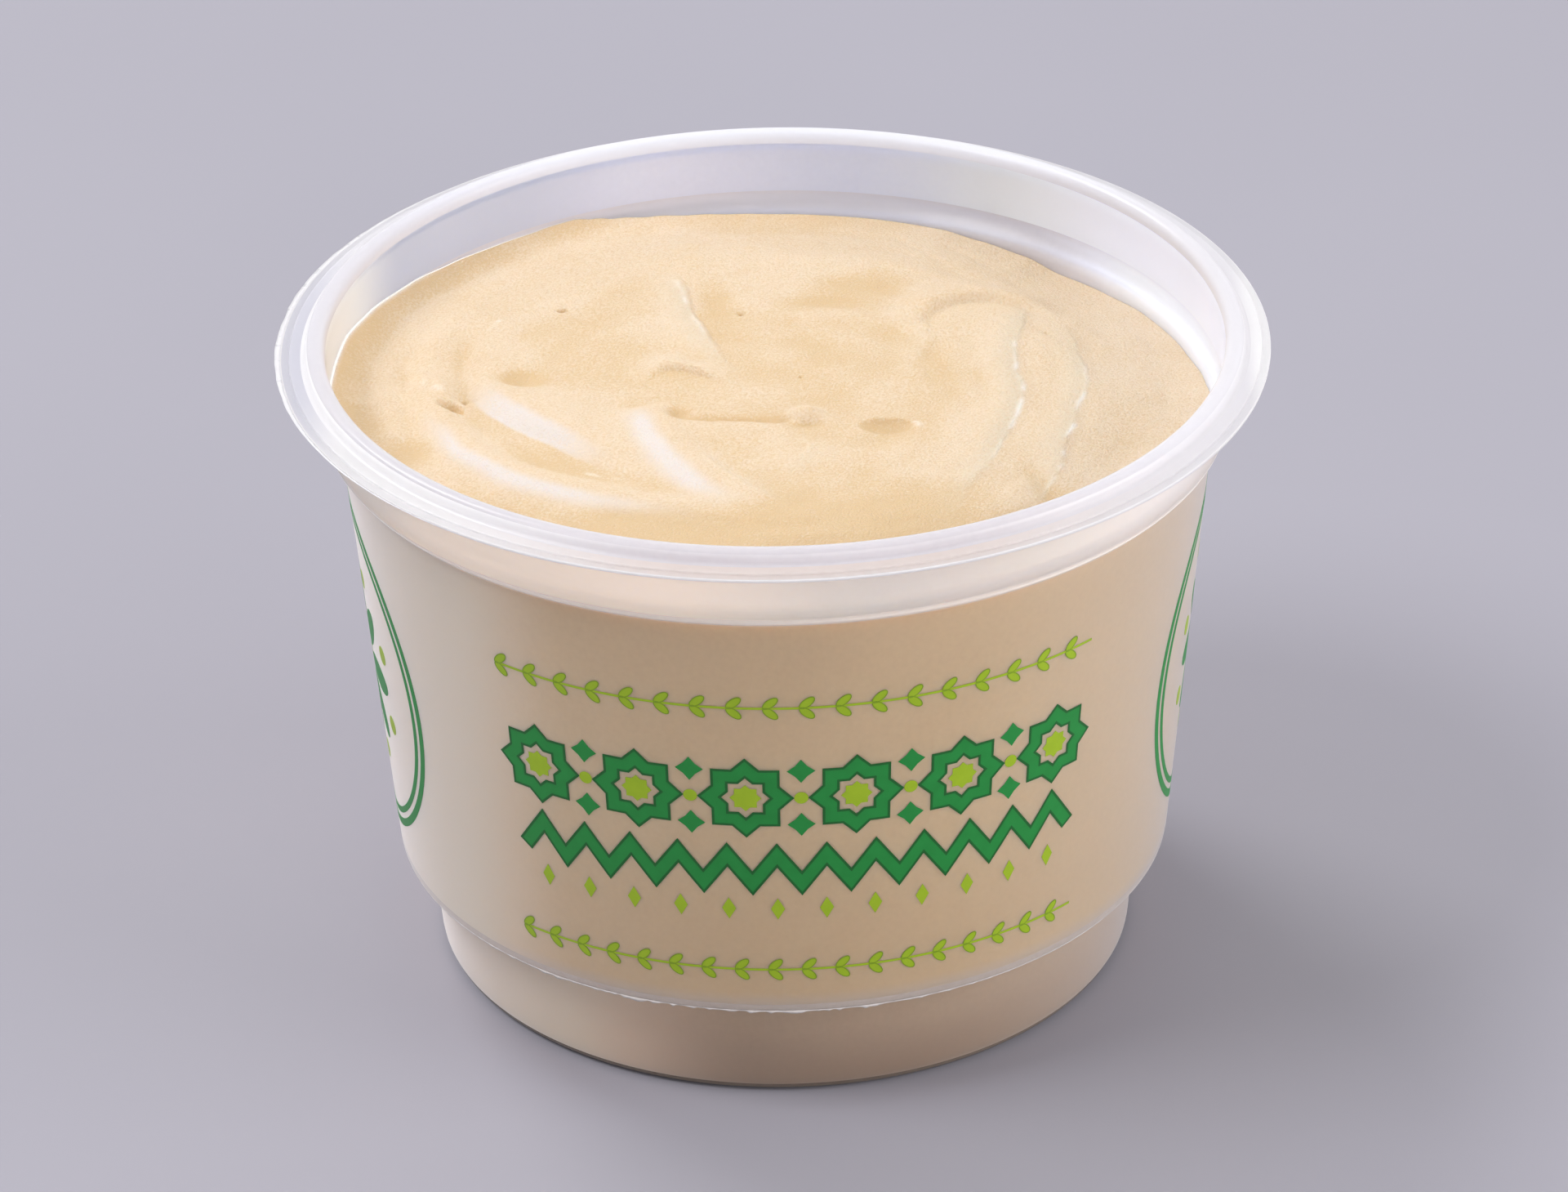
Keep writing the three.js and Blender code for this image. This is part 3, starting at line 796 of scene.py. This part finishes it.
inset = wall_thickness - into_wall
side_top = 64
side_steps = 14
side_outline = rounded([
    (wall_radius(side_top) - inset, side_top, 0),
    (wall_radius(shelf) - inset, shelf - into_wall, 0.8),
    (foot_top_radius - inset, ledge_height - 0.5, 0.4),
    (foot_radius - inset, base_thickness - into_wall, 1.3),
    (0, base_thickness - into_wall, 0),
], steps=4)[1:-1]
side_shares = np.linspace(0, 1, side_steps + 1)[1:]
side_heights = [edge_level + (side_top - edge_level) * share for share in side_shares]
side_radii = [inner_radius(height) + into_wall for height in side_heights]
for radius, height in side_outline:
    side_radii.append(np.full(around, radius))
    side_heights.append(np.full(around, height))
side_rings = np.stack([
    side_radii * np.cos(hummus_angles), side_radii * np.sin(hummus_angles), side_heights,
], axis=-1)
all_rings = np.concatenate([top_rings, side_rings])
middle_height, *middle_skins = swirl(np.zeros(1), np.zeros(1))
hummus_vertices = np.concatenate([
    [(0, 0, middle_height[0])],
    all_rings.reshape(-1, 3),
    [(0, 0, base_thickness - into_wall)],
])
ring_count, hummus_last = len(all_rings), len(hummus_vertices) - 1
hummus_faces = []
for i in range(around):
    j = (i + 1) % around
    hummus_faces.append((0, 1 + i, 1 + j))
    for ring in range(ring_count - 1):
        near, far = 1 + ring * around, 1 + (ring + 1) * around
        hummus_faces.append((near + i, far + i, far + j, near + j))
    end = 1 + (ring_count - 1) * around
    hummus_faces.append((end + i, hummus_last, end + j))
hummus = new_piece("hummus_dip", hummus_vertices, hummus_faces)
skins = {"frost": 0, "painted_highlight": 0, "bead": 0, "painted_shade_and_tone": 0.35}  # and each one's value at the sides
for skin, middle_skin, top_skin in zip(skins, middle_skins, top_skins):
    values = np.full(len(hummus_vertices), float(skins[skin]))
    values[0] = middle_skin[0]
    values[1:1 + top_skin.size] = top_skin.ravel()
    hummus.data.attributes.new(skin, "FLOAT", "POINT").data.foreach_set("value", values)

dip_shader, dip, hummus_material = finish_of(
    "smooth_hummus",
    Subsurface_Weight=0.25,
    Subsurface_Scale=1.6 * MM,
    Subsurface_Radius=(1.0, 0.6, 0.3),
    Specular_IOR_Level=0.65,
    IOR=1.45,
)


def skin_of(name):
    return dip_shader.node("Attribute", {"attribute_name": name}, output=2)


frost, painted_highlight, bead, painted_shade_and_tone = (skin_of(name) for name in skins)
fine_grain = noise(dip_shader, 3200, 3, roughness=0.6)
torn_grain = noise(dip_shader, 1900, 4, roughness=0.7)
# The hummus colour runs from pale to deep with the painted shade, random tone and fine grain.
tone = 0.85 * painted_shade_and_tone + 0.7 * noise(dip_shader, 130, 3) + 3 * fine_grain - 1.56
dip_colour = blend_colours(dip_shader, tone, (0.795, 0.636, 0.461), (0.70, 0.50, 0.275))
dip_colour = laid_over(
    dip_shader, frost * (2.8 * torn_grain - 0.7), dip_colour, (0.785, 0.665, 0.50))
# Painted highlight on the shining flanks and along the climbing edge.
dip_colour = laid_over(dip_shader, 2.3 * painted_highlight * fine_grain, dip_colour, (0.775, 0.695, 0.64))
# Painted glint along the broken bright lines.
dip_colour = laid_over(dip_shader, bead, dip_colour, (0.96, 0.92, 0.86))
feed(dip_shader, dip, "Base Color", dip_colour)
feed(dip_shader, dip, "Roughness", 0.37 + 0.1 * noise(dip_shader, 160, 3) + 0.25 * frost)
dip_bump = dip_shader.node("Bump", None, {
    "Height": 2 * fine_grain + 4 * frost * torn_grain,
    "Strength": 0.8, "Distance": 0.16 * MM})
feed(dip_shader, dip, "Normal", dip_bump)
hummus.data.materials.append(hummus_material)
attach(hummus, "root")
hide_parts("hummus")


# The oil: a thread of clear oil that has run out of the hummus and lies along its edge, where
# it climbs the inside of the tub at the left. It is a hair at the back and thickens forwards.

oil_start, oil_end = 117, 192
oil_steps = 90
oil_half_thickness = 0.2
oil_off_wall = 0.08
oil_over_edge = 0.12

oil_path = np.radians(np.linspace(oil_start, oil_end, oil_steps + 1))
oil_reach = inner_radius(wall_edge(oil_path)) - oil_off_wall
oil_line = bpy.data.curves.new("oil_line", "CURVE")
oil_line.dimensions = "3D"
oil_line.bevel_depth = oil_half_thickness * MM
oil_thread = oil_line.splines.new("POLY")
oil_thread.points.add(oil_steps)
oil_thread.points.foreach_set("co", (np.column_stack([
    oil_reach * np.cos(oil_path), oil_reach * np.sin(oil_path),
    wall_edge(oil_path) + oil_over_edge, np.full(oil_steps + 1, 1 / MM)]) * MM).ravel())
oil_thread.points.foreach_set("radius", np.clip(0.3 + 1.2 * np.sin(oil_path - 2.3), 0.1, 1))
oil = bpy.data.objects.new("oil_line", oil_line)
bpy.context.scene.collection.objects.link(oil)
oil_shader, oil_film, oil_material = finish_of(
    "clear_oil", Coat_Weight=1.0, Coat_Roughness=0.05, IOR=1.47)
feed(oil_shader, oil_film, "Base Color", blend_colours(
    oil_shader, noise(oil_shader, 220, 3), (0.90, 0.87, 0.82), (0.98, 0.97, 0.96)))
feed(oil_shader, oil_film, "Roughness", 0.15 + 0.2 * noise(oil_shader, 500))
oil_line.materials.append(oil_material)
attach(oil, "root")


# The print: two green inks screened on the outside of the wall. Shapes are drawn flat, in
# millimetres round the wall and up it, cut into narrow strips and wrapped onto the taper.

print_turn = math.radians(2.4)
print_radius = wall_radius(40)
ink_depth = 0.02
ink_proud = 0.025
outline_proud = 0.035
strip_width = 1.0
weld_reach, cut_reach = 1e-4, 1e-5


def oval(x, y, half_length, half_width, turn=0.0, steps=28):
    """An oval outline round a place, turned in its plane."""
    angles = np.arange(steps) * 2 * math.pi / steps
    cos, sin = math.cos(turn), math.sin(turn)
    along, across = half_length * np.cos(angles), half_width * np.sin(angles)
    return np.stack([x + along * cos - across * sin, y + along * sin + across * cos], axis=-1)


def star(x, y, radius, tips=8, waist=0.7654):
    """A star outline. The waist of an eight-point star is that of two crossed squares."""
    angles = np.arange(2 * tips) * math.pi / tips + math.pi / 2
    reach = np.where(np.arange(2 * tips) % 2 == 0, radius, radius * waist)
    return np.stack([x + reach * np.cos(angles), y + reach * np.sin(angles)], axis=-1)


def bar(points, width):
    """A band of even width along a line of points, with mitred corners."""
    points = np.array(points, float)
    steps = np.diff(points, axis=0)
    steps /= np.linalg.norm(steps, axis=1, keepdims=True)
    sides = np.stack([-steps[:, 1], steps[:, 0]], axis=-1)
    mitres = np.concatenate([sides[:1], sides[:-1] + sides[1:], sides[-1:]])
    mitres[1:-1] /= (mitres[1:-1] * sides[1:]).sum(1, keepdims=True)
    return np.concatenate([points + mitres * width / 2, (points - mitres * width / 2)[::-1]])


def contour(points, width):
    """A closed line of even width along an outline: its outer and its inner edge."""
    around_it = np.concatenate([points[-1:], points, points[:1]])
    line = bar(around_it, width)
    count = len(around_it)
    return [line[1:count - 1], line[count + 1:2 * count - 1]]


def printed(name, outlines, material, centre=0.0, proud=ink_proud):
    """One ink piece: outlines filled (an outline inside another is a hole) and wrapped."""
    flat = bpy.data.curves.new(name, "CURVE")
    flat.dimensions = "2D"
    flat.fill_mode = "BOTH"
    flat.extrude = (ink_depth + proud) / 2
    for outline in outlines:
        spline = flat.splines.new("POLY")
        spline.points.add(len(outline) - 1)
        spline.points.foreach_set("co", np.column_stack(
            [outline, np.zeros(len(outline)), np.ones(len(outline))]).ravel())
        spline.use_cyclic_u = True
    drawing = bpy.data.objects.new(name + "_flat", flat)
    bpy.context.scene.collection.objects.link(drawing)
    graph = bpy.context.evaluated_depsgraph_get()
    mesh = bpy.data.meshes.new_from_object(drawing.evaluated_get(graph), depsgraph=graph)
    bpy.data.objects.remove(drawing)
    bpy.data.curves.remove(flat)
    cut = bmesh.new()
    cut.from_mesh(mesh)
    bmesh.ops.remove_doubles(cut, verts=cut.verts, dist=weld_reach)
    low = min(v.co.x for v in cut.verts)
    high = max(v.co.x for v in cut.verts)
    for x in np.arange(low + strip_width, high, strip_width):
        bmesh.ops.bisect_plane(
            cut, geom=cut.verts[:] + cut.edges[:] + cut.faces[:], dist=cut_reach,
            plane_co=(x, 0, 0), plane_no=(1, 0, 0))
    bmesh.ops.triangulate(cut, faces=cut.faces[:])
    for vertex in cut.verts:
        x, y, z = vertex.co
        angle = print_turn + centre + x / print_radius
        radius = wall_radius(y) + z + (proud - ink_depth) / 2
        vertex.co = Vector((radius * math.sin(angle), -radius * math.cos(angle), y)) * MM
    bmesh.ops.recalc_face_normals(cut, faces=cut.faces[:])
    cut.to_mesh(mesh)
    cut.free()
    mesh.materials.clear()
    mesh.materials.append(material)
    piece = bpy.data.objects.new(name, mesh)
    bpy.context.scene.collection.objects.link(piece)
    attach(piece, "root")


def ink(name, thin, thick):
    """A screened ink that covers a little unevenly, between two colours."""
    shader, principled, material = finish_of(name, Specular_IOR_Level=0.4)
    cover = noise(shader, 700, 3)
    feed(shader, principled, "Base Color", blend_colours(shader, cover, thin, thick))
    feed(shader, principled, "Roughness", 0.38 + 0.15 * cover)
    return material


green_ink = ink("green_ink", (0.007, 0.20, 0.03), (0.012, 0.26, 0.045))
deep_green_ink = ink("deep_green_ink", (0.003, 0.09, 0.012), (0.005, 0.13, 0.02))
lime_ink = ink("lime_ink", (0.28, 0.42, 0.008), (0.35, 0.50, 0.014))
deep_lime_ink = ink("deep_lime_ink", (0.17, 0.28, 0.006), (0.21, 0.33, 0.01))


# The sprigs: a printed lime stem with pairs of blunt leaves that open to the right, one above
# and one below the middle field. Each leaf has a thin darker edge, where the ink lies thicker.

sprig_heights = (57.0, 20.3)
sprig_start = -36.3
sprig_end = 36.2
sprig_pairs = 18
leaf_pitch = 4.03
leaf_length = 2.05
leaf_width = 0.95
leaf_line = 0.13
leaf_turn = math.radians(42)
leaf_steps = 20
stem_inset = 0.8
stem_width = 0.3

for number, height in enumerate(sprig_heights, 1):
    stem = bar([(sprig_start + stem_inset, height), (sprig_end, height)], stem_width)
    printed(f"sprig_stem_{number}", [stem], lime_ink)
    leaves = {}
    for place, turn in (("lower", -leaf_turn), ("upper", leaf_turn)):
        middle = leaf_length / 2
        leaves[place] = [
            oval(sprig_start + leaf_pitch * pair + middle * math.cos(turn),
                 height + middle * math.sin(turn), middle, leaf_width / 2, turn, leaf_steps)
            for pair in range(sprig_pairs)]
    for place in ("upper", "lower"):
        printed(f"sprig_{place}_leaves_{number}", leaves[place], lime_ink)
    for place, row in leaves.items():
        edges = [edge for leaf in row for edge in contour(leaf, leaf_line)]
        printed(f"sprig_{place}_edges_{number}", edges, deep_lime_ink,
                proud=outline_proud)


# The middle field: a plain tile frieze in both inks, with a row of eight-point stars and their
# links, a zigzag band below it and a row of lozenges. A darker line runs along the edges of the
# stars and of the zigzag, where the ink lies thicker.

star_height = 44.6
star_radius = 5.3
star_hole, star_heart = 0.56, 0.34  # shares of the star's radius
star_count = 6
star_pitch = 12.6
link_offset = 3.7
link_radius, link_waist = 1.6, 0.62
link_dot_radius = 0.8
zigzag_low, zigzag_high = 32.6, 36.6
zigzag_half_length = 34.5
zigzag_width = 1.7
zigzag_steps = 24
lozenge_height = 29.0
lozenge_radius, lozenge_waist = 1.5, 0.55
line_width = 0.3

star_places = [(i - (star_count - 1) / 2) * star_pitch for i in range(star_count)]
star_rings, star_hearts, link_shapes, lime_dots = [], [], [], []
for x in star_places:
    star_rings.append(star(x, star_height, star_radius))
    star_rings.append(star(x, star_height, star_radius * star_hole))
    star_hearts.append(star(x, star_height, star_radius * star_heart))
for left, right in zip(star_places, star_places[1:]):
    middle = (left + right) / 2
    for side in (-1, 1):
        link_shapes.append(
            star(middle, star_height + side * link_offset, link_radius, 4, link_waist))
    lime_dots.append(oval(middle, star_height, link_dot_radius, link_dot_radius))
printed("star_rings", star_rings, green_ink)
star_edges = [edge for ring in star_rings for edge in contour(ring, line_width)]
printed("star_ring_edges", star_edges, deep_green_ink, proud=outline_proud)
printed("star_hearts", star_hearts + lime_dots, lime_ink)
printed("star_links", link_shapes, green_ink)

zigzag_x = np.linspace(-zigzag_half_length, zigzag_half_length, zigzag_steps + 1)
zigzag_y = np.where(np.arange(zigzag_steps + 1) % 2 == 0, zigzag_low, zigzag_high)
zigzag_band = bar(np.stack([zigzag_x, zigzag_y], -1), zigzag_width)
printed("zigzag", [zigzag_band], green_ink)
zigzag_edges = contour(zigzag_band, line_width)
printed("zigzag_edges", zigzag_edges, deep_green_ink, proud=outline_proud)
lozenges = [star(x, lozenge_height, lozenge_radius, 2, lozenge_waist) for x in zigzag_x[1::2]]
printed("lozenges", lozenges, lime_ink)


# The side badges: a printed double ring on each side of the tub, with a plain rosette in it of
# eight green petals, lime dots between their tips and a lime heart.

badge_turn = math.radians(87.8)
badge_height = 40.0
badge_rings = (22.3, 21.3, 20.6, 19.8)
badge_ring_steps = 96
petal_count = 8
petal_place = 7.4
petal_half_length, petal_half_width = 4.4, 1.9
petal_dot_place, petal_dot_radius = 12.6, 1.2
rosette_heart_radius = 1.9


def on_badge(reach, turn):
    """The place at a distance and a direction from the middle of a badge."""
    return reach * math.cos(turn), badge_height + reach * math.sin(turn)


for name, side in (("left", -1), ("right", 1)):
    rings = [oval(0, badge_height, r, r, steps=badge_ring_steps) for r in badge_rings]
    printed(f"badge_{name}_rings", rings, green_ink, side * badge_turn)
    petals, dots = [], []
    for i in range(petal_count):
        turn = 2 * math.pi * i / petal_count
        petals.append(
            oval(*on_badge(petal_place, turn), petal_half_length, petal_half_width, turn))
        turn += math.pi / petal_count
        dots.append(oval(*on_badge(petal_dot_place, turn), petal_dot_radius, petal_dot_radius))
    printed(f"badge_{name}_petals", petals, green_ink, side * badge_turn)
    dots.append(oval(0, badge_height, rosette_heart_radius, rosette_heart_radius))
    printed(f"badge_{name}_dots", dots, lime_ink, side * badge_turn)


# The floor and the light: a pale matt surface under a bright sky. A large soft window light
# stands high at the back left, and weaker soft lights fill in from the left, the right and the
# front. The sky is a little brighter low down at the back.

floor_reach = 4.0

floor_mesh = bpy.data.meshes.new("floor")
floor_mesh.from_pydata(
    [(x * floor_reach, y * floor_reach, 0) for x, y in ((-1, -1), (1, -1), (1, 1), (-1, 1))],
    [], [(0, 1, 2, 3)])
floor = bpy.data.objects.new("floor", floor_mesh)
bpy.context.scene.collection.objects.link(floor)
floor_shader, floor_finish, floor_material = finish_of("pale_floor", Roughness=0.8)
feed(floor_shader, floor_finish, "Base Color", blend_colours(
    floor_shader, noise(floor_shader, 6, 3), (0.335, 0.326, 0.378), (0.37, 0.36, 0.415)))
floor_mesh.materials.append(floor_material)


def soft_light(name, place, size, power, colour):
    """A round soft light at a place in metres, turned to the tub."""
    lamp = bpy.data.lights.new(name, "AREA")
    lamp.shape = "DISK"
    lamp.size = size
    lamp.energy = power
    lamp.color = colour
    light = bpy.data.objects.new(name, lamp)
    light.location = place
    to_the_tub = Vector((0, 0, 50 * MM)) - Vector(place)
    light.rotation_euler = to_the_tub.to_track_quat("-Z", "Y").to_euler()
    bpy.context.scene.collection.objects.link(light)
    return light


# The window's light passes through the milky tub, and only the hummus holds it back.
window = soft_light("window", (-0.85, 1.05, 1.55), 0.8, 16, (1.0, 0.99, 0.98))
through_the_tub = bpy.data.collections.new("window_blockers")
through_the_tub.objects.link(hummus)
window.light_linking.blocker_collection = through_the_tub
soft_light("left_fill", (-1.25, -0.4, 1.85), 1.0, 21, (1.0, 0.99, 0.99))
soft_light("right_fill", (1.45, -0.45, 0.52), 1.2, 15, (1.0, 0.98, 0.96))
soft_light("front_fill", (0.5, -1.6, 0.5), 1.2, 6, (1.0, 0.99, 0.98))

sky_brightness = 0.782
sky_colour = (0.97, 0.975, 1.0, 1)
brighter_towards = (0, 0.36, -0.3)

world = bpy.data.worlds.new("studio")
world.use_nodes = True
background = world.node_tree.nodes["Background"]
background.inputs["Color"].default_value = sky_colour
sky = Value(world.node_tree)
low_at_the_back = sky.node("VectorMath", {"operation": "DOT_PRODUCT"}, {
    0: sky.node("TexCoord", output=0), 1: brighter_towards}, output=1)
strength = sky_brightness + low_at_the_back
world.node_tree.links.new(strength.socket, background.inputs["Strength"])
bpy.context.scene.world = world
bpy.context.scene.view_settings.view_transform = "Standard"
